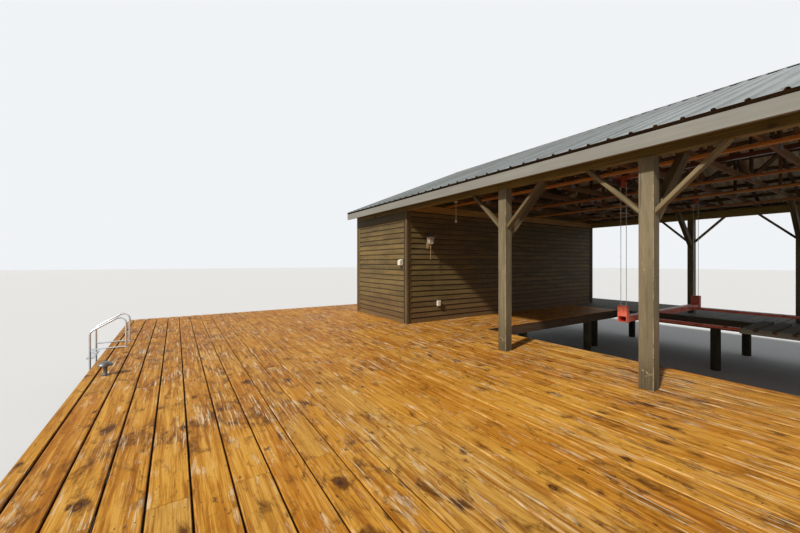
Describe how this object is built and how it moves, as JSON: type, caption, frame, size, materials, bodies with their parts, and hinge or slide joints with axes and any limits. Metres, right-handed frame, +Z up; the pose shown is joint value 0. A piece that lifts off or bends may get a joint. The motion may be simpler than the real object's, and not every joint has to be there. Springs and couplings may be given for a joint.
{
  "type": "boathouse",
  "caption": "Open post-and-beam boat shelter with a storage room, a ribbed steel gable roof, timber docks round a slip and a cable-hung boat lift.",
  "frame": {"origin": "middle of the part's box in x and y, at the level of the pile feet", "axes": "+Z up; +Y along the shelter from the lake to the shore end with the room; +X across, from the main deck to the far dock"},
  "size_m": [15.095, 13.85, 5.8291],
  "materials": {
    "deck_boards": "worn stained boards",
    "far_deck_boards": "weathered boards",
    "dock_timber": "rough sawn",
    "piles": "rough",
    "post_timber": "stained",
    "beam_timber": "stained",
    "truss_timber": "rough",
    "purlin_timber": "rough",
    "roof_steel": "ribbed and painted",
    "fascia_boards": "painted",
    "siding": "stained lap boards",
    "trim_boards": "stained",
    "lift_red": "faded gloss paint",
    "plank_wood": "bare",
    "cable_steel": "stranded",
    "lantern_metal": "satin",
    "outlet_plastic": "matte",
    "lamp_white": "gloss",
    "ladder_metal": "brushed",
    "light_metal": "satin"
  },
  "bodies": {
    "root": {"main_deck": "deck_boards", "walkway_deck": "deck_boards", "right_deck": "far_deck_boards", "dock_side_skirts": "dock_timber", "dock_end_skirts": "dock_timber", "dock_beams": "dock_timber", "dock_joists": "dock_timber", "walkway_joists": "dock_timber", "dock_piles": "piles", "posts": "post_timber", "side_beams": "beam_timber", "side_braces": "post_timber", "cross_braces": "post_timber", "truss_bottom_chords": "truss_timber", "left_rafters": "truss_timber", "right_rafters": "truss_timber", "truss_posts": "truss_timber", "truss_diagonals": "truss_timber", "truss_runners": "truss_timber", "roof_purlins": "purlin_timber", "left_roof_sheet": "roof_steel", "right_roof_sheet": "roof_steel", "ridge_cap": "roof_steel", "eave_fascias": "fascia_boards", "left_barge_boards": "fascia_boards", "right_barge_boards": "fascia_boards", "front_wall": "siding", "back_wall": "siding", "left_wall": "siding", "right_wall": "siding", "front_gable": "siding", "back_gable": "siding", "front_header": "beam_timber", "corner_boards": "trim_boards", "side_friezes": "trim_boards", "hoist_rails": "lift_red", "hoist_sheaves": "lift_red", "wall_lantern": "lantern_metal", "outlet_box": "outlet_plastic", "pendant_lamp": "lamp_white", "swim_ladder": "ladder_metal", "dock_light": "light_metal"},
    "lift": {"lift_cross_beams": "lift_red", "lift_rails": "lift_red", "lift_brackets": "lift_red", "lift_planks": "plank_wood", "lift_cables": "cable_steel"}
  },
  "joints": [
    {"name": "lift_hoist", "type": "slide", "parent": "root", "child": "lift", "axis": [0, 0, 1], "range_m": [-1.4, 0.9], "deforming": ["lift_cables"]}
  ]
}
